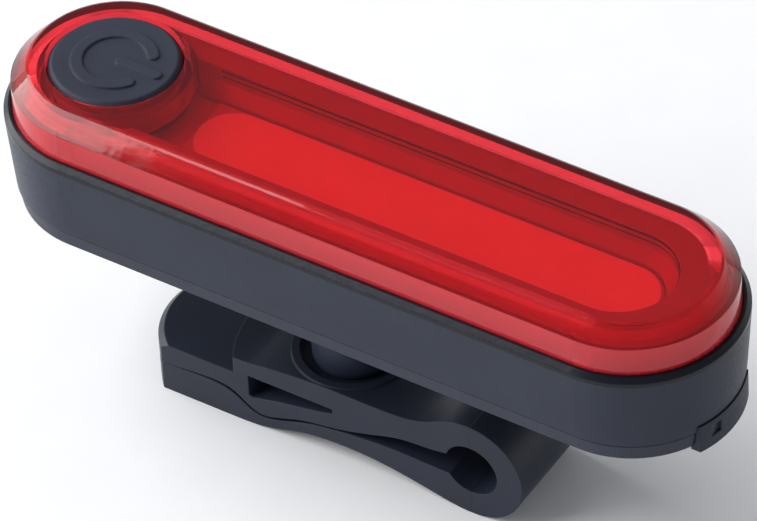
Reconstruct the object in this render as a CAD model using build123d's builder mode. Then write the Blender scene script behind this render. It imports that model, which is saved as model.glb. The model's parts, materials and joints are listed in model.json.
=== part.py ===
from build123d import *
import os

# A rechargeable bicycle rear light on a swivelling belt clip. Lengths are in millimetres.
# The origin is under the middle of the lamp, on the surface that the closed clip stands on.
# +X runs along the lamp to its charging end, +Y across it and +Z up to the lens.

os.makedirs("parts", exist_ok=True)

# Lamp body
body_length = 78.0
body_width = 22.0
underside_z = 18.2
cover_height = 2.35
side_height = 7.95
lip_height = 0.87
seam_gap = 0.2
seam_inset = 0.57
cover_step = 0.15
underside_inset = 1.0
underside_bevel = 0.5
wall = 1.5
cover_floor = 1.4
cover_tongue = 0.8
tongue_clearance = 0.1
overrun = 2.0

# Upper rim of the housing, which holds the lens and the board
lip_width = 0.78
lip_bevel = 0.45
lens_seat_depth = 1.07
board_ledge = 1.3
ledge_thickness = 0.8

# Lens
lens_clearance = 0.04
lens_draft = 0.08
lens_wall_height = 3.02
lens_bevel_height = 1.73
lens_top_inset = 2.56
lens_edge_bevel = 0.15
lens_wall = 1.35
lens_roof = 1.6
lens_post_width = 1.8
lens_post_depth = 0.5
seal_thickness = 0.5
seal_inset = 0.9
seal_width = 1.2

# Boards
board_clearance = 0.1
board_thickness = 1.0
charge_board_thickness = 0.8
charge_board_length = 14.5

# Light strip and reflector
strip_width = 8.1
strip_thickness = 0.4
strip_offset = 8.9
trough_overhang = 3.0
phosphor_width = 7.5
phosphor_thickness = 0.3
reflector_inset = 3.0
reflector_height = 3.4
trough_width = 8.4
trough_step_width = 10.8
trough_top_width = 11.2
trough_floor_height = 0.7
trough_step_height = 1.8
reflector_skin = 0.8

# Power button and its switch
button_offset = 0.2
button_radius = 6.4
button_hole_gap = 0.22
button_bevel = 0.45
button_wall = 1.1
button_roof = 1.85
button_foot_radius = 7.15
button_foot_thickness = 0.7
button_foot_lift = 1.1
button_stem_radius = 2.0
collar_wall = 0.8
collar_clearance = 0.1
symbol_radius = 4.2
symbol_stroke = 1.15
symbol_height = 0.18
symbol_gap_angle = 72.0
symbol_bar_start = 0.2
symbol_bar_end = 5.2
switch_width = 6.0
switch_height = 2.8
switch_round = 0.6
plunger_radius = 1.75
plunger_length = 2.3
plunger_rise = 0.9
plunger_gap = 0.15
switch_floor = 0.8
press_gap = 0.05

# Battery
battery_length = 34.0
battery_width = 15.0
battery_thickness = 4.8
battery_round = 1.2
battery_x = -7.0
pad_thickness = 0.8
lead_width = 2.0
lead_thickness = 0.3
lead_spacing = 4.4
lead_bend = 1.2
lead_height = 3.4
lead_pad_inset = 1.4

# Electronics
chip_length = 5.0
chip_width = 4.0
chip_height = 1.2
chip_inset = 12.0
passive_length = 1.6
passive_width = 0.8
passive_pitch = 2.4
pin_side = 0.6
pin_pitch = 2.0
pin_count = 4
pin_inset = 1.5
charge_chip_side = 3.0
charge_chip_height = 1.0
charge_chip_offset = 3.0

# Charging socket and its rubber cover
socket_width = 7.4
socket_height = 2.3
socket_length = 5.0
socket_front_inset = 2.3
socket_lift = 0.7
socket_skin = 0.25
socket_bevel = 0.55
socket_clearance = 0.1
tongue_width = 3.6
tongue_thickness = 0.6
plug_width = 6.0
plug_height = 1.1
plug_depth = 1.6
flap_width = 8.8
flap_height = 3.15
flap_drop = 0.2
flap_inset = 0.4
flap_thickness = 0.9
flap_clearance = 0.15
flap_notch_width = 1.4
flap_notch_height = 1.3
flap_notch_depth = 0.5
flap_notch_y = -2.6
anchor_gap = 0.1
anchor_width = 1.2

# Swivel between the lamp and the clip
pivot_x = -3.0
boss_radius = 4.2
boss_draft = 1.0
boss_root_bevel = 0.8
boss_root_slope = 45.0
swivel_gap = 0.1
screw_radius = 1.25
screw_reach = 6.0
screw_head_radius = 2.3
screw_head_height = 1.3
screw_slot_width = 0.6
screw_slot_depth = 0.6
thread_clearance = 0.03
screw_hole_radius = 1.55
washer_radius = 2.5
washer_thickness = 0.4
head_hole_radius = 2.9

# Clip
clip_width = 12.4
ring_offset = 16.6
ring_radius = 5.6
ring_hole_radius = 2.85
jaw_reach = 37.4
tongue_end_radius = 8.5
tongue_top = 5.9
platform_radius = 11.6
dish_floor = 8.1
leaf_web = 1.9
dish_radius = 5.2
collar_radius = 6.0
collar_top = 8.9
upper_hole_angle = 161.0
lower_hole_angle = 213.0
tip_bevel_length = 3.0
tip_bevel_height = 1.35
heel_bevel_length = 2.4
heel_bevel_height = 1.1
tip_height = 1.0
tongue_bevel = 0.6
driver_hole_radius = 2.2

# Heights that follow from the sizes above
seam_z = underside_z + cover_height
rim_z = seam_z + side_height
lip_z = rim_z + lip_height
floor_z = underside_z + cover_floor
lens_seat_z = lip_z - lens_seat_depth
seal_top_z = lens_seat_z + seal_thickness
lens_break_z = lip_z + lens_wall_height
lens_top_z = lens_break_z + lens_bevel_height
roof_z = lens_top_z - lens_roof
board_z = lens_seat_z - board_thickness - board_clearance
board_top_z = board_z + board_thickness
socket_z = underside_z + socket_lift
charge_board_z = socket_z + socket_height
charge_top_z = charge_board_z + charge_board_thickness

# Places that follow from the sizes above
end_x = (body_length - body_width) / 2
button_x = -end_x - button_offset
strip_left = button_x + strip_offset
trough_right = end_x + trough_overhang
chip_x = end_x - chip_inset
pin_x = end_x - pin_inset
charge_chip_x = end_x + charge_chip_offset
flap_radius = body_width / 2 - flap_inset
lens_inset = lip_width + lens_clearance
lens_inner_inset = lens_inset + lens_wall
cavity_inset = seam_inset + wall
tongue_inset = cavity_inset + tongue_clearance
board_inset = lens_inner_inset + board_clearance * 2
charge_board_inset = cavity_inset + board_clearance
button_hole_radius = button_radius + button_hole_gap
collar_outer_radius = button_hole_radius + collar_wall
collar_z = board_top_z + button_foot_lift + button_foot_thickness + collar_clearance
ring_x = pivot_x + ring_offset
flap_z = underside_z - flap_drop
flap_inner_radius = flap_radius - flap_thickness
flap_low = -flap_width / 2
flap_high = flap_width / 2
anchor_high = flap_high + anchor_gap + anchor_width
socket_front_x = body_length / 2 - socket_front_inset


def stadium(inset):
    """Draws the outline of the lamp, drawn in by the inset."""
    return SlotOverall(body_length - 2 * inset, body_width - 2 * inset)


def end_sector(outer, inner, low, high):
    """Draws a piece of a ring about the charging end's centre, between two places across the lamp."""
    with Locations((end_x, 0)):
        Circle(outer)
        Circle(inner, mode=Mode.SUBTRACT)
    with Locations((end_x + outer / 2, (low + high) / 2)):
        Rectangle(outer, high - low, mode=Mode.INTERSECT)


def cover_pocket():
    """Draws the pocket that the socket's rubber cover and its anchor lie in."""
    end_sector(body_width, flap_inner_radius - flap_clearance, flap_low - flap_clearance, anchor_high)


def save(piece, name):
    """Labels a finished piece and writes it to a file of its own."""
    piece.part.label = name
    export_step(piece.part, f"parts/{name}.step")


# Housing: the drafted side wall, with the lip round the lens and the ledge under the board
with BuildPart() as housing:
    with BuildSketch(Plane.XY.offset(seam_z)):
        stadium(seam_inset)
    with BuildSketch(Plane.XY.offset(rim_z)):
        stadium(0)
    loft(ruled=True)
    with BuildSketch(Plane.XY.offset(rim_z)):
        stadium(0)
    extrude(amount=lip_height)
    chamfer(housing.edges().group_by(Axis.Z)[-1], lip_bevel)
    with BuildSketch(Plane.XY.offset(lens_seat_z)):
        stadium(lip_width)
    extrude(amount=lens_seat_depth, mode=Mode.SUBTRACT)
    with BuildSketch(Plane.XY.offset(board_z)):
        stadium(board_inset - board_clearance)
    extrude(amount=lens_seat_z - board_z, mode=Mode.SUBTRACT)
    with BuildSketch(Plane.XY.offset(board_z - ledge_thickness)):
        stadium(cavity_inset + board_ledge)
    extrude(amount=ledge_thickness, mode=Mode.SUBTRACT)
    with BuildSketch(Plane.XY.offset(seam_z)):
        stadium(cavity_inset)
    extrude(amount=board_z - ledge_thickness - seam_z, mode=Mode.SUBTRACT)
    # The socket and its rubber cover reach a little above the seam
    with BuildSketch(Plane.XY.offset(seam_z)):
        cover_pocket()
    extrude(amount=flap_z + flap_height + flap_clearance - seam_z, mode=Mode.SUBTRACT)
    with BuildSketch(Plane.XY.offset(seam_z)):
        with Locations((socket_front_x, 0)):
            Rectangle(socket_length, socket_width + 2 * socket_clearance)
    extrude(amount=charge_board_z + socket_clearance - seam_z, mode=Mode.SUBTRACT)
save(housing, "housing")

# Back cover: the shallow pan that closes the housing, with the swivel boss moulded on it
with BuildPart() as back_cover:
    with BuildSketch(Plane.XY.offset(underside_z)):
        stadium(underside_inset)
    with BuildSketch(Plane.XY.offset(seam_z - seam_gap)):
        stadium(seam_inset + cover_step)
    loft(ruled=True)
    chamfer(back_cover.edges().group_by(Axis.Z)[0], underside_bevel)
    with BuildSketch(Plane.XY.offset(floor_z)):
        stadium(tongue_inset)
    extrude(amount=charge_board_z - floor_z)
    with BuildSketch(Plane.XY.offset(floor_z)):
        stadium(tongue_inset + cover_tongue)
    extrude(amount=charge_board_z - floor_z, mode=Mode.SUBTRACT)
    with BuildSketch(Plane.XY.offset(underside_z)):
        with Locations((pivot_x, 0)):
            Circle(boss_radius)
    extrude(amount=-(underside_z - dish_floor - swivel_gap), taper=boss_draft)
    with BuildSketch(Plane.XY.offset(underside_z)):
        with Locations((pivot_x, 0)):
            Circle(boss_radius + boss_root_bevel)
    extrude(amount=-boss_root_bevel, taper=boss_root_slope)
    with BuildSketch(Plane.XY.offset(dish_floor + swivel_gap)):
        with Locations((pivot_x, 0)):
            Circle(screw_radius + thread_clearance)
    extrude(amount=screw_reach + overrun / 2, mode=Mode.SUBTRACT)
    # The pocket of the rubber cover, and the way in to the socket
    with BuildSketch(Plane.XY.offset(flap_z)):
        cover_pocket()
    extrude(amount=flap_height + overrun, mode=Mode.SUBTRACT)
    with BuildSketch(Plane.XY.offset(socket_z - socket_clearance)):
        with Locations((socket_front_x - socket_length / 2 + overrun / 2, 0)):
            Rectangle(socket_length + overrun + 2 * socket_clearance, socket_width + 2 * socket_clearance)
    extrude(amount=socket_height + overrun, mode=Mode.SUBTRACT)
save(back_cover, "back_cover")

# Cover seal: the thin ring that lies in the seam, cut away at the socket's cover
with BuildPart() as cover_seal:
    with BuildSketch(Plane.XY.offset(seam_z - seam_gap)):
        stadium(seam_inset + 2 * cover_step)
        offset(amount=-(cavity_inset - seam_inset - 2 * cover_step), mode=Mode.SUBTRACT)
    extrude(amount=seam_gap)
    with BuildSketch(Plane.XY.offset(seam_z - seam_gap)):
        cover_pocket()
        with Locations((body_length / 2, 0)):
            Rectangle(body_width, socket_width + 2 * socket_clearance)
    extrude(amount=seam_gap, mode=Mode.SUBTRACT)
save(cover_seal, "cover_seal")

# Lens seal: the flat ring under the lens wall
with BuildPart() as lens_seal:
    with BuildSketch(Plane.XY.offset(lens_seat_z)):
        stadium(seal_inset)
        offset(amount=-seal_width, mode=Mode.SUBTRACT)
    extrude(amount=seal_thickness)
save(lens_seal, "lens_seal")

# Lens: the clear shell with a bevel round its flat top, a collar for the button and four snap posts
with BuildPart() as lens:
    with BuildSketch(Plane.XY.offset(seal_top_z)):
        stadium(lens_inset)
    with BuildSketch(Plane.XY.offset(lens_break_z)):
        stadium(lens_inset + lens_draft)
    loft(ruled=True)
    with BuildSketch(Plane.XY.offset(lens_break_z)):
        stadium(lens_inset + lens_draft)
    with BuildSketch(Plane.XY.offset(lens_top_z)):
        stadium(lens_top_inset)
    loft(ruled=True)
    chamfer(lens.edges().group_by(Axis.Z)[-1], lens_edge_bevel)
    with BuildSketch(Plane.XY.offset(seal_top_z)):
        stadium(lens_inner_inset)
    extrude(amount=lens_break_z - lens_bevel_height / 2 - seal_top_z, mode=Mode.SUBTRACT)
    with BuildSketch(Plane.XY.offset(lens_break_z - lens_bevel_height / 2)):
        stadium(lens_inner_inset)
    with BuildSketch(Plane.XY.offset(roof_z)):
        stadium(lens_top_inset + lens_wall)
    loft(ruled=True, mode=Mode.SUBTRACT)
    with BuildSketch(Plane.XY.offset(seal_top_z)):
        for side in (-1, 1):
            with Locations((-end_x, side * (body_width / 2 - lens_inner_inset)),
                           (end_x, side * (body_width / 2 - lens_inner_inset))):
                Rectangle(lens_post_width, 2 * lens_post_depth)
    extrude(amount=lens_break_z - lens_bevel_height / 2 - seal_top_z)
    with BuildSketch(Plane.XY.offset(collar_z)):
        with Locations((button_x, 0)):
            Circle(collar_outer_radius)
    extrude(amount=roof_z - collar_z + lens_roof / 2)
    with BuildSketch(Plane.XY.offset(collar_z)):
        with Locations((button_x, 0)):
            Circle(button_hole_radius)
    extrude(amount=lens_top_z - collar_z + overrun, mode=Mode.SUBTRACT)
save(lens, "lens")

# Main board: carries the light strip and the switch above, and the controller below
with BuildPart() as main_board:
    with BuildSketch(Plane.XY.offset(board_z)):
        stadium(board_inset)
    extrude(amount=board_thickness)
save(main_board, "main_board")

# Light strip: the board of the chip-on-board strip, and the phosphor coat that glows
strip_right = trough_right - (trough_width - strip_width) / 2
strip_length = strip_right - strip_left
with BuildPart() as light_strip:
    with BuildSketch(Plane.XY.offset(board_top_z)):
        with Locations(((strip_left + strip_right) / 2, 0)):
            SlotOverall(strip_length, strip_width)
        with Locations((strip_left + strip_width / 2, 0)):
            Rectangle(strip_width, strip_width)
    extrude(amount=strip_thickness)
save(light_strip, "light_strip")

with BuildPart() as phosphor_coat:
    with BuildSketch(Plane.XY.offset(board_top_z + strip_thickness)):
        with Locations(((strip_left + strip_right) / 2, 0)):
            SlotOverall(strip_length - (strip_width - phosphor_width), phosphor_width)
    extrude(amount=phosphor_thickness)
save(phosphor_coat, "phosphor_coat")

# Reflector: the moulded trough round the light strip, open below its rim
trough_left = strip_left - body_width
reflector_top_z = board_top_z + reflector_height
trough_floor_z = board_top_z + trough_floor_height
trough_step_z = board_top_z + trough_step_height


def trough(width, mode=Mode.ADD):
    """Draws the trough's outline, which is rounded at its right end and runs on past the button."""
    grown = (width - trough_width) / 2
    length = trough_right + grown - trough_left
    with Locations((trough_left + length / 2, 0)):
        SlotOverall(length, width, mode=mode)


with BuildPart() as reflector:
    with BuildSketch(Plane.XY.offset(board_top_z)):
        stadium(reflector_inset)
    extrude(amount=reflector_height)
    with BuildSketch(Plane.XY.offset(board_top_z)):
        trough(trough_width)
    extrude(amount=trough_floor_height, mode=Mode.SUBTRACT)
    with BuildSketch(Plane.XY.offset(trough_floor_z)):
        trough(trough_width)
    with BuildSketch(Plane.XY.offset(trough_step_z)):
        trough(trough_step_width)
    loft(ruled=True, mode=Mode.SUBTRACT)
    with BuildSketch(Plane.XY.offset(trough_step_z)):
        trough(trough_step_width)
    with BuildSketch(Plane.XY.offset(reflector_top_z)):
        trough(trough_top_width)
    loft(ruled=True, mode=Mode.SUBTRACT)
    with BuildSketch(Plane.XY.offset(board_top_z)):
        stadium(reflector_inset + reflector_skin)
        trough(trough_top_width + 2 * reflector_skin, mode=Mode.SUBTRACT)
    extrude(amount=reflector_height - reflector_skin, mode=Mode.SUBTRACT)
    with BuildSketch(Plane.XY.offset(board_top_z)):
        with Locations((button_x, 0)):
            Circle(collar_outer_radius + 2 * button_hole_gap)
    extrude(amount=reflector_height, mode=Mode.SUBTRACT)
save(reflector, "reflector")

# Switch: the square body on the board, and the plunger that the button presses
switch_top_z = board_top_z + switch_height
plunger_top_z = switch_top_z + plunger_rise
with BuildPart() as switch_body:
    with BuildSketch(Plane.XY.offset(board_top_z)):
        with Locations((button_x, 0)):
            RectangleRounded(switch_width, switch_width, switch_round)
    extrude(amount=switch_height)
    with BuildSketch(Plane.XY.offset(board_top_z + switch_floor)):
        with Locations((button_x, 0)):
            Circle(plunger_radius + plunger_gap)
    extrude(amount=switch_height, mode=Mode.SUBTRACT)
save(switch_body, "switch_body")

with BuildPart() as switch_plunger:
    with BuildSketch(Plane.XY.offset(plunger_top_z - plunger_length)):
        with Locations((button_x, 0)):
            Circle(plunger_radius)
    extrude(amount=plunger_length)
save(switch_plunger, "switch_plunger")

# Power button: a rubber cap with a foot below the lens, a stem and a raised power symbol
foot_z = board_top_z + button_foot_lift
button_roof_z = lens_top_z - button_roof
stem_z = plunger_top_z + press_gap
symbol_mean = symbol_radius - symbol_stroke / 2
symbol_arc = CenterArc((button_x, 0), symbol_mean, symbol_gap_angle / 2, 360 - symbol_gap_angle)
with BuildPart() as power_button:
    with BuildSketch(Plane.XY.offset(foot_z)):
        with Locations((button_x, 0)):
            Circle(button_radius)
    extrude(amount=lens_top_z - foot_z)
    chamfer(power_button.edges().group_by(Axis.Z)[-1], button_bevel)
    with BuildSketch(Plane.XY.offset(foot_z)):
        with Locations((button_x, 0)):
            Circle(button_foot_radius)
    extrude(amount=button_foot_thickness)
    with BuildSketch(Plane.XY.offset(foot_z)):
        with Locations((button_x, 0)):
            Circle(button_radius - button_wall)
            Circle(button_stem_radius, mode=Mode.SUBTRACT)
    extrude(amount=button_roof_z - foot_z, mode=Mode.SUBTRACT)
    with BuildSketch(Plane.XY.offset(foot_z)):
        with Locations((button_x, 0)):
            Circle(button_stem_radius)
    extrude(amount=stem_z - foot_z, mode=Mode.SUBTRACT)
    with BuildSketch(Plane.XY.offset(button_roof_z)):
        SlotArc(symbol_arc, symbol_stroke)
        with Locations((button_x + (symbol_bar_start + symbol_bar_end) / 2, 0)):
            SlotOverall(symbol_bar_end - symbol_bar_start, symbol_stroke)
    extrude(amount=lens_top_z + symbol_height - button_roof_z)
save(power_button, "power_button")

# Controller: the chip and its small parts on the underside of the main board
with BuildPart() as controller_chip:
    with BuildSketch(Plane.XY.offset(board_z)):
        with Locations((chip_x, 0)):
            Rectangle(chip_length, chip_width)
    extrude(amount=-chip_height)
save(controller_chip, "controller_chip")

with BuildPart() as board_components:
    with BuildSketch(Plane.XY.offset(board_z)):
        with Locations((chip_x, chip_width / 2 + passive_pitch), (chip_x, -chip_width / 2 - passive_pitch)):
            with GridLocations(passive_pitch, 0, 3, 1):
                Rectangle(passive_length, passive_width)
    extrude(amount=-passive_width)
save(board_components, "board_components")

# Battery: the pouch cell on its foam pad, with its two flat leads to the charging board
battery_z = floor_z + pad_thickness
battery_end_x = battery_x + battery_length / 2
lead_z = battery_z + lead_height
lead_x = end_x + body_width / 2 - cavity_inset - charge_board_length + lead_pad_inset
with BuildPart() as battery_pad:
    with BuildSketch(Plane.XY.offset(floor_z)):
        with Locations((battery_x, 0)):
            Rectangle(battery_length - 2 * battery_round, battery_width - 2 * battery_round)
    extrude(amount=pad_thickness)
save(battery_pad, "battery_pad")

with BuildPart() as battery_cell:
    with BuildSketch(Plane.XY.offset(battery_z)):
        with Locations((battery_x, 0)):
            Rectangle(battery_length, battery_width)
    extrude(amount=battery_thickness)
    fillet(battery_cell.edges().filter_by(Axis.X), battery_round)
save(battery_cell, "battery_cell")

with BuildPart() as battery_leads:
    for side in (-1, 1):
        lead_y = side * lead_spacing / 2
        with BuildLine() as lead_path:
            FilletPolyline((battery_end_x, lead_y, lead_z), (lead_x, lead_y, lead_z),
                           (lead_x, lead_y, charge_top_z), radius=lead_bend)
        with BuildSketch(Plane(origin=(battery_end_x, lead_y, lead_z), x_dir=(0, 1, 0), z_dir=(1, 0, 0))):
            Rectangle(lead_width, lead_thickness)
        sweep(path=lead_path.line)
save(battery_leads, "battery_leads")

# Charging board: rests on the back cover's tongue and carries the socket below it
with BuildPart() as charge_board:
    with BuildSketch(Plane.XY.offset(charge_board_z)):
        stadium(charge_board_inset)
        with Locations((lead_x - lead_pad_inset - body_length / 2, 0)):
            Rectangle(body_length, body_width, mode=Mode.SUBTRACT)
    extrude(amount=charge_board_thickness)
save(charge_board, "charge_board")

with BuildPart() as charge_chip:
    with BuildSketch(Plane.XY.offset(charge_top_z)):
        with Locations((charge_chip_x, 0)):
            Rectangle(charge_chip_side, charge_chip_side)
    extrude(amount=charge_chip_height)
save(charge_chip, "charge_chip")

with BuildPart() as board_pins:
    with BuildSketch(Plane.XY.offset(charge_top_z)):
        with Locations((pin_x, 0)):
            with GridLocations(0, pin_pitch, 1, pin_count):
                Rectangle(pin_side, pin_side)
    extrude(amount=board_z - charge_top_z)
save(board_pins, "board_pins")

# Charging socket: a folded metal shell round a plastic tongue
with BuildPart() as usb_socket:
    with BuildSketch(Plane.YZ.offset(socket_front_x - socket_length)):
        with Locations((0, socket_z + socket_height / 2)):
            Rectangle(socket_width, socket_height)
    extrude(amount=socket_length)
    chamfer(usb_socket.edges().filter_by(Axis.X).group_by(Axis.Z)[0], socket_bevel)
    offset(amount=-socket_skin, openings=usb_socket.faces().sort_by(Axis.X)[-1])
save(usb_socket, "usb_socket")

with BuildPart() as usb_contacts:
    with BuildSketch(Plane.YZ.offset(socket_front_x - socket_length + socket_skin)):
        with Locations((0, socket_z + socket_height - socket_skin - tongue_thickness / 2)):
            Rectangle(tongue_width, tongue_thickness)
    extrude(amount=socket_length / 2 - socket_skin)
save(usb_contacts, "usb_contacts")

# Socket cover: the rubber flap with its plug, and the anchor that holds its tether in the back cover
with BuildPart() as usb_cover:
    with BuildSketch(Plane.XY.offset(flap_z)):
        end_sector(flap_radius, flap_inner_radius, flap_low, flap_high)
    extrude(amount=flap_height)
    with BuildSketch(Plane.YZ.offset(socket_front_x - plug_depth)):
        with Locations((0, socket_z + socket_height / 2 - tongue_thickness / 2)):
            Rectangle(plug_width, plug_height)
    extrude(amount=plug_depth + end_x + flap_radius - flap_thickness - socket_front_x)
    with BuildSketch(Plane.YZ.offset(end_x + flap_radius + flap_notch_depth)):
        with Locations((flap_notch_y, flap_z + flap_height - flap_notch_height)):
            Rectangle(flap_notch_width, flap_notch_height)
    extrude(amount=-2 * flap_notch_depth, mode=Mode.SUBTRACT)
save(usb_cover, "usb_cover")

with BuildPart() as usb_cover_anchor:
    with BuildSketch(Plane.XY.offset(flap_z + flap_drop)):
        end_sector(body_width / 2 - underside_inset, flap_inner_radius - flap_clearance,
                   flap_high + anchor_gap, anchor_high)
    extrude(amount=flap_height - flap_drop)
save(usb_cover_anchor, "usb_cover_anchor")

# Swivel: the screw that comes up through the clip into the boss, and its washer
pivot_web_z = dish_floor - leaf_web
washer_z = pivot_web_z - swivel_gap - washer_thickness
with BuildPart() as pivot_washer:
    with BuildSketch(Plane.XY.offset(washer_z)):
        with Locations((pivot_x, 0)):
            Circle(washer_radius)
            Circle(screw_radius + thread_clearance, mode=Mode.SUBTRACT)
    extrude(amount=washer_thickness)
save(pivot_washer, "pivot_washer")

with BuildPart() as pivot_screw:
    with BuildSketch(Plane.XY.offset(washer_z - screw_head_height)):
        with Locations((pivot_x, 0)):
            Circle(screw_head_radius)
    extrude(amount=screw_head_height)
    with BuildSketch(Plane.XY.offset(washer_z)):
        with Locations((pivot_x, 0)):
            Circle(screw_radius)
    extrude(amount=dish_floor + swivel_gap + screw_reach - washer_z)
    with BuildSketch(Plane.XY.offset(washer_z - screw_head_height)):
        with Locations((pivot_x, 0)):
            Rectangle(2 * screw_head_radius - screw_slot_width, screw_slot_width)
            Rectangle(screw_slot_width, 2 * screw_head_radius - screw_slot_width)
    extrude(amount=screw_slot_depth, mode=Mode.SUBTRACT)
save(pivot_screw, "pivot_screw")

# Clip: one springy moulding, in three pieces that meet at its ring. Its side outlines are shares of the jaw's
# reach, measured back from the ring, and of the ring's height.
ring_z = ring_radius
tip_x = ring_x - jaw_reach
jaw_top_shares = [(0.0, 1.0), (0.083, 0.935), (0.142, 0.836), (0.217, 0.79), (0.444, 0.78), (0.604, 0.735),
                  (1.0, 0.70)]
upper_jaw_shares = [(0.136, 0.553), (0.2, 0.535), (0.302, 0.436), (0.422, 0.33), (0.513, 0.268),
                    (0.585, 0.18), (0.631, 0.155), (0.668, 0.21), (0.705, 0.30), (0.791, 0.345), (1.0, 0.38)]
lower_jaw_shares = [(0.12, 0.365), (0.2, 0.372), (0.302, 0.358), (0.39, 0.325), (0.5, 0.25), (0.585, 0.15),
                    (0.631, 0.132), (0.668, 0.18), (0.71, 0.275), (0.78, 0.322), (0.86, 0.31)]
heel_shares = [(0.0, 0.0), (0.1, 0.045), (0.217, 0.127), (0.364, 0.173), (0.513, 0.127), (0.70, 0.0)]
slot_floor_shares = [(0.41, 0.50), (0.45, 0.465), (0.57, 0.385), (0.65, 0.315), (0.663, 0.33)]
slot_right_x = ring_x - slot_floor_shares[0][0] * jaw_reach
slot_left_x = ring_x - slot_floor_shares[-1][0] * jaw_reach


def side_points(shares):
    """Turns shares of the jaw's reach and the ring's height into points of the clip's side view."""
    return [(ring_x - across * jaw_reach, up * 2 * ring_radius) for across, up in shares]


def hole_point(angle):
    """Gives the point of the ring's hole at an angle, in the clip's side view."""
    turn = Vector(ring_hole_radius, 0).rotate(Axis.Z, angle)
    return (ring_x + turn.X, ring_z + turn.Y)


def clip_plan():
    """Draws the clip from above: straight sides, and an end rounded about the middle of the jaw."""
    end_centre_x = tip_x + tongue_end_radius
    with Locations((end_centre_x, 0)):
        Circle(tongue_end_radius)
    with Locations(((end_centre_x + ring_x + ring_radius) / 2, 0)):
        Rectangle(jaw_reach + ring_radius - tongue_end_radius, 2 * tongue_end_radius)
    with Locations(((tip_x + ring_x + ring_radius) / 2, 0)):
        Rectangle(jaw_reach + ring_radius, clip_width, mode=Mode.INTERSECT)


with BuildPart() as clip_upper_leaf:
    with BuildSketch(Plane.XZ):
        with BuildLine():
            top = Spline(*side_points(jaw_top_shares), tangents=[(-1, 0), (-1, 0)])
            end = Line(top @ 1, side_points(upper_jaw_shares)[-1])
            teeth = reversed(side_points(upper_jaw_shares[:-1]))
            bottom = Spline(end @ 1, *teeth, hole_point(upper_hole_angle))
            hole = CenterArc((ring_x, ring_z), ring_hole_radius, upper_hole_angle, 90 - upper_hole_angle)
            Line(hole @ 1, top @ 0)
        make_face()
        with BuildLine():
            Polyline(*side_points(slot_floor_shares), (slot_left_x, pivot_web_z), (slot_right_x, pivot_web_z),
                     close=True)
        make_face(mode=Mode.SUBTRACT)
    extrude(amount=clip_width, both=True)
    with BuildSketch(Plane.XY):
        clip_plan()
    extrude(amount=2 * ring_radius, mode=Mode.INTERSECT)
    # The tongue is thinner than the round platform behind it
    with BuildSketch(Plane.XY.offset(tongue_top)):
        with Locations((pivot_x - body_length / 2, 0)):
            Rectangle(body_length, body_width)
        with Locations((pivot_x, 0)):
            Circle(platform_radius, mode=Mode.SUBTRACT)
    extrude(amount=2 * ring_radius, mode=Mode.SUBTRACT)
    tongue = clip_upper_leaf.faces().filter_by(Plane.XY).filter_by_position(Axis.Z, tongue_top, tongue_top)
    chamfer(tongue.edges().sort_by(Axis.X)[0], tongue_bevel)
    # The dish that the boss turns in, with a low collar round it
    with BuildSketch(Plane.XY.offset(dish_floor - leaf_web / 2)):
        with Locations((pivot_x, 0)):
            Circle(collar_radius)
    extrude(amount=collar_top - dish_floor + leaf_web / 2)
    with BuildSketch(Plane.XY.offset(dish_floor)):
        with Locations((pivot_x, 0)):
            Circle(dish_radius)
    extrude(amount=2 * ring_radius, mode=Mode.SUBTRACT)
    with BuildSketch(Plane.XY.offset(pivot_web_z)):
        with Locations((pivot_x, 0)):
            Circle(screw_hole_radius)
    extrude(amount=leaf_web, mode=Mode.SUBTRACT)
    with BuildSketch(Plane.XY):
        with Locations((pivot_x, 0)):
            Circle(head_hole_radius)
    extrude(amount=pivot_web_z, mode=Mode.SUBTRACT)
save(clip_upper_leaf, "clip_upper_leaf")

with BuildPart() as clip_spring_bend:
    with BuildSketch(Plane.XZ):
        with Locations((ring_x, ring_z)):
            Circle(ring_radius)
            Circle(ring_hole_radius, mode=Mode.SUBTRACT)
        with Locations((ring_x + ring_radius / 2, ring_z)):
            Rectangle(ring_radius, 2 * ring_radius, mode=Mode.INTERSECT)
    extrude(amount=clip_width / 2, both=True)
save(clip_spring_bend, "clip_spring_bend")

with BuildPart() as clip_lower_leaf:
    with BuildSketch(Plane.XZ):
        with BuildLine():
            heel = Spline(*side_points(heel_shares), tangents=[(-1, 0), (-1, 0)])
            teeth = Spline(*reversed(side_points(lower_jaw_shares)), hole_point(lower_hole_angle))
            Polyline(heel @ 1, (tip_x + heel_bevel_length, 0), (tip_x, heel_bevel_height),
                     (tip_x, heel_bevel_height + tip_height),
                     (tip_x + tip_bevel_length, tip_bevel_height + heel_bevel_height + tip_height), teeth @ 0)
            hole = CenterArc((ring_x, ring_z), ring_hole_radius, lower_hole_angle, 270 - lower_hole_angle)
            Line(hole @ 1, heel @ 0)
        make_face()
    extrude(amount=clip_width, both=True)
    with BuildSketch(Plane.XY):
        clip_plan()
    extrude(amount=2 * ring_radius, mode=Mode.INTERSECT)
    with BuildSketch(Plane.XY):
        with Locations((pivot_x, 0)):
            Circle(driver_hole_radius)
    extrude(amount=ring_radius, mode=Mode.SUBTRACT)
save(clip_lower_leaf, "clip_lower_leaf")
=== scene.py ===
import json
import math

import bmesh
import bpy
from mathutils import Matrix, Vector


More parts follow.
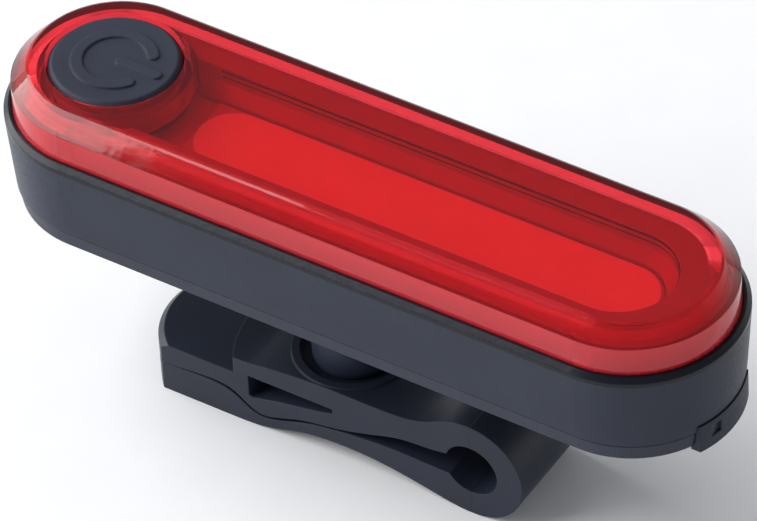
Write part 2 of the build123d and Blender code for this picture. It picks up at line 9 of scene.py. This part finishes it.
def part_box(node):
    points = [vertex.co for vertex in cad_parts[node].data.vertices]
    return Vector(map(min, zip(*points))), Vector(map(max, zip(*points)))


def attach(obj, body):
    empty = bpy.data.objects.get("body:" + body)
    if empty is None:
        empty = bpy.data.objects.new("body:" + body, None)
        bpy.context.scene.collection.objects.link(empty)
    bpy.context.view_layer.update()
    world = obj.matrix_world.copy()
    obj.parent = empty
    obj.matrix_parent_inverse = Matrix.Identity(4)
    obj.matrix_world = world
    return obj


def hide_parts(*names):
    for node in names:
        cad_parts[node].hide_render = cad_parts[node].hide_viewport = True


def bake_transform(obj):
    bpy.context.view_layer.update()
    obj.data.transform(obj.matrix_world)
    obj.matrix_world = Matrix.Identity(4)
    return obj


# The looks of a bicycle rear light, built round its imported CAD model, in metres and in the row frame.

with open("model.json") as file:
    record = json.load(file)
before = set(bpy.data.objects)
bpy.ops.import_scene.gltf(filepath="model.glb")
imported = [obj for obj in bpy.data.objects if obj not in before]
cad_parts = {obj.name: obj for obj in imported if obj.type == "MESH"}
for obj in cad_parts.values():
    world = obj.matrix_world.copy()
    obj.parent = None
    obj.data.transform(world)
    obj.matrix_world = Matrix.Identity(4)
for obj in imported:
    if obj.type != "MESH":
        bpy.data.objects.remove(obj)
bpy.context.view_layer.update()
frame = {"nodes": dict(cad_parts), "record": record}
scene = bpy.context.scene

# Camera: the photograph's viewing angle, fitted to the outlines of the lamp
IMAGE_WIDTH = 757
FOCAL_LENGTH_IN_PIXELS = 8031
SENSOR_WIDTH = 36.0
CAMERA_AZIMUTH = math.radians(34.287)
CAMERA_ELEVATION = math.radians(42.99)
CAMERA_ROLL = math.radians(-3.404)
CAMERA_PLACE = Vector((0.30932, -0.45317, 0.53266))

# Studio: a floor, a sky that is bright low down and grey overhead, and one soft light
FLOOR_HALF = 3.0
FLOOR_COLOUR = (0.86, 0.86, 0.87)
HORIZON_COLOUR = (1.0, 1.0, 1.0, 1.0)
ZENITH_COLOUR = (0.24, 0.25, 0.27, 1.0)
HORIZON_HEIGHT = 0.1
ZENITH_HEIGHT = 0.5
WORLD_STRENGTH = 1.12
KEY_PLACE = Vector((-1.0, -0.35, 0.75))
KEY_SIZE = 1.5
KEY_POWER = 34.0

# Textures: scales are features to a metre, and the noise is spread from its middle range
BROAD_SCALE = 160.0
FINE_SCALE = 2600.0
SANDY_SCALE = 7000.0
NOISE_DETAIL = 4.0
NOISE_LOW = 0.3
NOISE_HIGH = 0.7
PATCH_CONTRAST = 0.12
GRAIN_DEPTH = 0.00001
EDGE_ROUND = 0.00018
SOFT_EDGE_ROUND = 0.0003
BEVEL_SAMPLES = 4

# The glossier lip round the top of the housing, darker by painted shade that stands for the dark overhead it
# reflects
LIP_HEIGHT = 0.0009
LIP_ROUGHNESS = 0.24
LIP_GRAIN = 4.0
LIP_PAINTED_SHADE = 0.35

# The lens, whose upright wall is cloudier than its bevel and its top
LENS_EDGE_ROUND = 0.00005
LENS_CLEARNESS = 0.96
LENS_WALL_CLEARNESS = 0.7
LENS_BEVEL_HEIGHT = 0.0018
LENS_IOR = 1.45
LENS_GLOSS = 0.4
LENS_DARK_RED = (0.97, 0.05, 0.07, 1.0)
LENS_LIGHT_RED = (0.99, 0.06, 0.085, 1.0)
LENS_SMOOTHEST = 0.02
LENS_ROUGHEST = 0.05
LENS_WAVE_DEPTH = 0.00002
LENS_WAVE_STRENGTH = 0.6

# The bend of the clip, which is drawn again in many steps
RING_TURNS = 28
RING_LAYERS = 4
RING_HOLE_SHARE = 0.509
SHARP_ANGLE = math.radians(40)

# Ridges along the wall of the reflector's trough, in black as painted shadow lines
TROUGH_HALF_WIDTH = 0.00562
RIDGE_DEPTH = 0.00018
RIDGE_HEIGHT = 0.00025
RIDGE_FACE_LOW = 0.3
RIDGE_FACE_HIGH = 0.7
RIDGE_UPPER_DROP = 0.0005
RIDGE_LOWER_DROP = 0.0011
RIDGE_START_GAP = 0.0012
RIDGE_TURNS = 24

# The Mix node's sockets, which share their names: the first value, the second one and the result
MIX_SOCKETS = {"FLOAT": (2, 3, 0), "RGBA": (6, 7, 2)}


def node(tree, kind, **values):
    """Adds a shader node and sets its inputs and settings by name."""
    made = tree.nodes.new(kind)
    for name, value in values.items():
        label = name.replace("_", " ").title()
        if label in made.inputs:
            made.inputs[label].default_value = value
        else:
            setattr(made, name, value)
    return made


def fill(tree, socket, value):
    """Links the value to a socket, or sets it there if it is a plain number or colour."""
    if isinstance(value, bpy.types.NodeSocket):
        tree.links.new(value, socket)
    else:
        socket.default_value = value


def noise(tree, place, scale):
    """Adds noise with so many features to a metre, and gives its value."""
    made = node(tree, "ShaderNodeTexNoise", scale=scale, detail=NOISE_DETAIL)
    tree.links.new(place, made.inputs["Vector"])
    return made.outputs[0]


def spread(tree, value, low, high):
    """Spreads a noise's middle range over the range from low to high."""
    made = node(tree, "ShaderNodeMapRange", from_min=NOISE_LOW, from_max=NOISE_HIGH, to_min=low, to_max=high)
    tree.links.new(value, made.inputs["Value"])
    return made.outputs["Result"]


def computed(tree, operation, value, number):
    """Works out an operation on a value and a number."""
    made = node(tree, "ShaderNodeMath", operation=operation)
    tree.links.new(value, made.inputs[0])
    made.inputs[1].default_value = number
    return made.outputs[0]


def height_of(tree, place):
    """Gives the upright part of a place or a direction."""
    parts = node(tree, "ShaderNodeSeparateXYZ")
    tree.links.new(place, parts.inputs[0])
    return parts.outputs["Z"]


def above(tree, place, height):
    """Gives 1 above that height of the object and 0 below it."""
    return computed(tree, "GREATER_THAN", height_of(tree, place), height)


def mixed(tree, kind, share, first, second):
    """Mixes two numbers or two colours, linked or plain, by the share of the second."""
    made = node(tree, "ShaderNodeMix", data_type=kind)
    first_socket, second_socket, result = MIX_SOCKETS[kind]
    tree.links.new(share, made.inputs[0])
    fill(tree, made.inputs[first_socket], first)
    fill(tree, made.inputs[second_socket], second)
    return made.outputs[result]


def shade(colour, share):
    """Gives the colour made lighter or darker, with full alpha."""
    return tuple(min(1.0, part * share) for part in colour) + (1.0,)


def new_material(name):
    """Makes a material, and gives it with its node tree, its shader and the place on the object."""
    material = bpy.data.materials.new(name)
    material.use_nodes = True
    tree = material.node_tree
    place = node(tree, "ShaderNodeTexCoord").outputs["Object"]
    return material, tree, tree.nodes["Principled BSDF"], place


def relief(tree, shader, value, depth, strength, edge):
    """Gives the shader rounded edges, and a bump that follows the value."""
    rounded = node(tree, "ShaderNodeBevel", samples=BEVEL_SAMPLES, radius=edge)
    bump = node(tree, "ShaderNodeBump", distance=depth, strength=strength)
    tree.links.new(value, bump.inputs["Height"])
    tree.links.new(rounded.outputs["Normal"], bump.inputs["Normal"])
    tree.links.new(bump.outputs["Normal"], shader.inputs["Normal"])


def surface(name, colour, rough, contrast=PATCH_CONTRAST, grain=FINE_SCALE, depth=GRAIN_DEPTH,
            edge=EDGE_ROUND, lip_top=None, sockets=()):
    """Makes a procedural material: broad patches in its colour, a fine grain in its gloss and soft edges."""
    material, tree, shader, place = new_material(name)
    patches = spread(tree, noise(tree, place, BROAD_SCALE), 0, 1)
    fine = noise(tree, place, grain)
    tint = mixed(tree, "RGBA", patches, shade(colour, 1 - contrast), shade(colour, 1 + contrast))
    gloss = spread(tree, fine, rough * (1 - contrast), rough * (1 + contrast))
    if lip_top:
        on_lip = above(tree, place, lip_top - LIP_HEIGHT)
        # Painted shade: the lip's colour is darkened for the dark overhead that it reflects
        tint = mixed(tree, "RGBA", on_lip, tint, shade(colour, LIP_PAINTED_SHADE))
        gloss = mixed(tree, "FLOAT", on_lip, gloss, LIP_ROUGHNESS)
        fine = mixed(tree, "FLOAT", on_lip, fine, computed(tree, "MULTIPLY", fine, LIP_GRAIN))
    tree.links.new(tint, shader.inputs["Base Color"])
    tree.links.new(gloss, shader.inputs["Roughness"])
    relief(tree, shader, fine, depth, 1.0, edge)
    for label, value in sockets:
        shader.inputs[label].default_value = value
    return material


def red_lens():
    """Makes the clear red polycarbonate of the lens, with a faint waviness from the mould."""
    material, tree, shader, place = new_material("red_lens")
    shader.inputs["IOR"].default_value = LENS_IOR
    shader.inputs["Specular IOR Level"].default_value = LENS_GLOSS
    broad = noise(tree, place, BROAD_SCALE)
    fine = noise(tree, place, FINE_SCALE)
    wall_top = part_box("lens")[1].z - LENS_BEVEL_HEIGHT
    clearness = mixed(tree, "FLOAT", above(tree, place, wall_top), LENS_WALL_CLEARNESS, LENS_CLEARNESS)
    tint = mixed(tree, "RGBA", spread(tree, broad, 0, 1), LENS_DARK_RED, LENS_LIGHT_RED)
    tree.links.new(clearness, shader.inputs["Transmission Weight"])
    tree.links.new(tint, shader.inputs["Base Color"])
    tree.links.new(spread(tree, fine, LENS_SMOOTHEST, LENS_ROUGHEST), shader.inputs["Roughness"])
    relief(tree, shader, broad, LENS_WAVE_DEPTH, LENS_WAVE_STRENGTH, LENS_EDGE_ROUND)
    return material


# One material for each of the record's slots
DULL = [("Specular IOR Level", 0.25)]
SILKY = [("Specular IOR Level", 0.3)]
METAL = [("Metallic", 1.0)]
# Painted light: a faint glow on the phosphor stands in for light reaching the inside through the lens
PAINTED_GLOW = [("Emission Color", (1.0, 0.9, 0.65, 1.0)), ("Emission Strength", 0.15)]
finishes = {
    "housing_plastic": dict(colour=(0.015, 0.020, 0.036), rough=0.42, depth=0.000005, sockets=DULL,
                            lip_top=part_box("housing")[1].z),
    "cover_plastic": dict(colour=(0.019, 0.024, 0.041), rough=0.42, depth=0.000008, sockets=DULL),
    "clip_plastic": dict(colour=(0.014, 0.018, 0.031), rough=0.38, grain=SANDY_SCALE, depth=0.000012,
                         sockets=DULL),
    "button_rubber": dict(colour=(0.023, 0.028, 0.047), rough=0.6, depth=0.000004, edge=SOFT_EDGE_ROUND,
                          sockets=SILKY),
    "cover_rubber": dict(colour=(0.015, 0.019, 0.033), rough=0.5, sockets=DULL),
    "seal_rubber": dict(colour=(0.01, 0.01, 0.012), rough=0.6),
    "white_plastic": dict(colour=(0.5, 0.5, 0.49), rough=0.25, contrast=0.03, depth=0.000004),
    "white_board": dict(colour=(0.82, 0.82, 0.8), rough=0.4, contrast=0.03),
    "phosphor": dict(colour=(0.96, 0.9, 0.66), rough=0.6, contrast=0.02, sockets=PAINTED_GLOW),
    "black_plastic": dict(colour=(0.02, 0.02, 0.022), rough=0.45),
    "foam": dict(colour=(0.05, 0.05, 0.052), rough=0.9, depth=0.00005),
    "cell_foil": dict(colour=(0.6, 0.62, 0.65), rough=0.35, sockets=METAL),
    "lead_tabs": dict(colour=(0.7, 0.69, 0.66), rough=0.35, sockets=METAL),
    "brass_pins": dict(colour=(0.8, 0.65, 0.3), rough=0.3, sockets=METAL),
    "plated_steel": dict(colour=(0.6, 0.6, 0.62), rough=0.3, sockets=METAL),
}
materials = {slot: surface(slot, **finish) for slot, finish in finishes.items()}
materials["red_lens"] = red_lens()


def dress(piece, slot):
    """Gives the piece the material of that slot."""
    piece.data.materials.clear()
    piece.data.materials.append(materials[slot])


for part in frame["record"]["subparts"]:
    dress(frame["nodes"][part["node"]], part["material_slot"])

# The seal under the lens is clear silicone, which lets the red through, and the other one is black
clear_seal = surface("clear_seal", colour=(0.75, 0.7, 0.7), rough=0.5, contrast=0.05)
frame["nodes"]["lens_seal"].data.materials[0] = clear_seal


def placed(name, data):
    """Puts an object with that data in the scene."""
    piece = bpy.data.objects.new(name, data)
    scene.collection.objects.link(piece)
    return piece


def finished(mesh, name, slot):
    """Turns the mesh into a piece with the material of that slot."""
    bmesh.ops.recalc_face_normals(mesh, faces=mesh.faces)
    data = bpy.data.meshes.new(name)
    mesh.to_mesh(data)
    mesh.free()
    piece = placed(name, data)
    dress(piece, slot)
    return piece


def ring_rows(mesh, centre, radius, sides):
    """Adds a row of points at each turn of the half ring, from its hole outward, on both sides."""
    hole = radius * RING_HOLE_SHARE
    rows = []
    for turn in range(RING_TURNS + 1):
        angle = math.pi * (turn / RING_TURNS - 0.5)
        outward = Vector((math.cos(angle), 0, math.sin(angle)))
        row = []
        for layer in range(RING_LAYERS + 1):
            reach = hole + (radius - hole) * layer / RING_LAYERS
            for y in sides:
                row.append(mesh.verts.new(centre + outward * reach + Vector((0, y, 0))))
        rows.append(row)
    return rows


def close_ring(mesh, rows):
    """Closes the half ring with its two sides, its hole, its outside and its two ends."""
    last = 2 * RING_LAYERS
    for first, second in zip(rows, rows[1:]):
        for layer in range(0, last, 2):
            mesh.faces.new((first[layer], first[layer + 2], second[layer + 2], second[layer]))
            mesh.faces.new((first[layer + 1], second[layer + 1], second[layer + 3], first[layer + 3]))
        mesh.faces.new((first[0], second[0], second[1], first[1]))
        mesh.faces.new((first[last], first[last + 1], second[last + 1], second[last]))
    for row, flip in ((rows[0], False), (rows[-1], True)):
        for layer in range(0, last, 2):
            corners = (row[layer], row[layer + 1], row[layer + 3], row[layer + 2])
            mesh.faces.new(tuple(reversed(corners)) if flip else corners)


def spring_bend():
    """Draws the half ring that joins the clip's two leaves, in many steps."""
    low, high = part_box("clip_spring_bend")
    radius = (high.z - low.z) / 2
    centre = Vector((low.x, 0, low.z + radius))
    mesh = bmesh.new()
    close_ring(mesh, ring_rows(mesh, centre, radius, (low.y, high.y)))
    piece = finished(mesh, "spring_bend", "clip_plastic")
    piece.data.shade_smooth()
    piece.data.set_sharp_from_angle(angle=SHARP_ANGLE)
    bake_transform(piece)
    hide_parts("clip_spring_bend")


def trough_path():
    """Gives the points along the wall of the trough, round its far end, with the way inward at each."""
    strip_low, strip_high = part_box("light_strip")
    end = strip_high.x - (strip_high.y - strip_low.y) / 2
    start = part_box("power_button")[1].x + RIDGE_START_GAP
    path = [(Vector((start, -TROUGH_HALF_WIDTH, 0)), Vector((0, 1, 0)))]
    for turn in range(RIDGE_TURNS + 1):
        angle = math.pi * (turn / RIDGE_TURNS - 0.5)
        outward = Vector((math.cos(angle), math.sin(angle), 0))
        path.append((Vector((end, 0, 0)) + outward * TROUGH_HALF_WIDTH, -outward))
    path.append((Vector((start, TROUGH_HALF_WIDTH, 0)), Vector((0, -1, 0))))
    return path


def trough_painted_shadow_ridge(name, drop):
    """Lays a thin ridge along the reflector's wall in black plastic, a painted shadow that shows as a dark
    line through the lens.
    """
    lift = Vector((0, 0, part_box("reflector")[1].z - drop))
    section = [(0.0, 0.0),
               (RIDGE_DEPTH, RIDGE_HEIGHT * RIDGE_FACE_LOW),
               (RIDGE_DEPTH, RIDGE_HEIGHT * RIDGE_FACE_HIGH),
               (0.0, RIDGE_HEIGHT)]
    mesh = bmesh.new()
    rows = []
    for point, inward in trough_path():
        corners = [point + lift + inward * depth + Vector((0, 0, up)) for depth, up in section]
        rows.append([mesh.verts.new(corner) for corner in corners])
    for first, second in zip(rows, rows[1:]):
        for corner in range(len(section)):
            following = (corner + 1) % len(section)
            mesh.faces.new((first[corner], first[following], second[following], second[corner]))
    mesh.faces.new(rows[0])
    mesh.faces.new(reversed(rows[-1]))
    # Painted shadow: the ridge is black so that it reads as the dark shadow line of a groove
    piece = finished(mesh, name, "black_plastic")
    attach(piece, "lamp")


def floor():
    """Lays the plain pale floor that the clip stands on."""
    data = bpy.data.meshes.new("floor")
    ends = (-FLOOR_HALF, FLOOR_HALF)
    data.from_pydata([(x, y, 0) for x in ends for y in ends], [], [(0, 2, 3, 1)])
    piece = placed("floor", data)
    piece.data.materials.append(surface("floor", FLOOR_COLOUR, rough=0.7, contrast=0.01, edge=0.0))


def soft_light():
    """Hangs the square soft light, which looks at the middle of the lamp."""
    data = bpy.data.lights.new("key", "AREA")
    data.size = KEY_SIZE
    data.energy = KEY_POWER
    light = placed("key", data)
    light.location = KEY_PLACE
    light.rotation_mode = "QUATERNION"
    light.rotation_quaternion = (-KEY_PLACE).to_track_quat("-Z", "Y")


def sky():
    """Lights the scene from all round, brightest low down and grey overhead."""
    world = bpy.data.worlds.new("studio")
    world.use_nodes = True
    tree = world.node_tree
    direction = node(tree, "ShaderNodeTexCoord").outputs["Generated"]
    climb = node(tree, "ShaderNodeMapRange", from_min=HORIZON_HEIGHT, from_max=ZENITH_HEIGHT)
    tree.links.new(height_of(tree, direction), climb.inputs["Value"])
    fade = mixed(tree, "RGBA", climb.outputs["Result"], HORIZON_COLOUR, ZENITH_COLOUR)
    background = tree.nodes["Background"]
    tree.links.new(fade, background.inputs["Color"])
    background.inputs["Strength"].default_value = WORLD_STRENGTH
    scene.world = world


def camera():
    """Sets the camera at the photograph's viewing angle."""
    data = bpy.data.cameras.new("camera")
    data.sensor_width = SENSOR_WIDTH
    data.lens = FOCAL_LENGTH_IN_PIXELS / IMAGE_WIDTH * SENSOR_WIDTH
    right = Vector((math.cos(CAMERA_AZIMUTH), math.sin(CAMERA_AZIMUTH), 0))
    forward = Vector((-math.sin(CAMERA_AZIMUTH) * math.cos(CAMERA_ELEVATION),
                      math.cos(CAMERA_AZIMUTH) * math.cos(CAMERA_ELEVATION),
                      -math.sin(CAMERA_ELEVATION)))
    up = right.cross(forward)
    turned_right = right * math.cos(CAMERA_ROLL) + up * math.sin(CAMERA_ROLL)
    turned_up = up * math.cos(CAMERA_ROLL) - right * math.sin(CAMERA_ROLL)
    turn = Matrix((turned_right, turned_up, -forward)).transposed()
    piece = placed("camera", data)
    piece.matrix_world = Matrix.Translation(CAMERA_PLACE) @ turn.to_4x4()
    scene.camera = piece


spring_bend()
trough_painted_shadow_ridge("trough_painted_shadow_ridge_upper", RIDGE_UPPER_DROP)
trough_painted_shadow_ridge("trough_painted_shadow_ridge_lower", RIDGE_LOWER_DROP)
floor()
soft_light()
sky()
camera()
scene.view_settings.view_transform = "Standard"
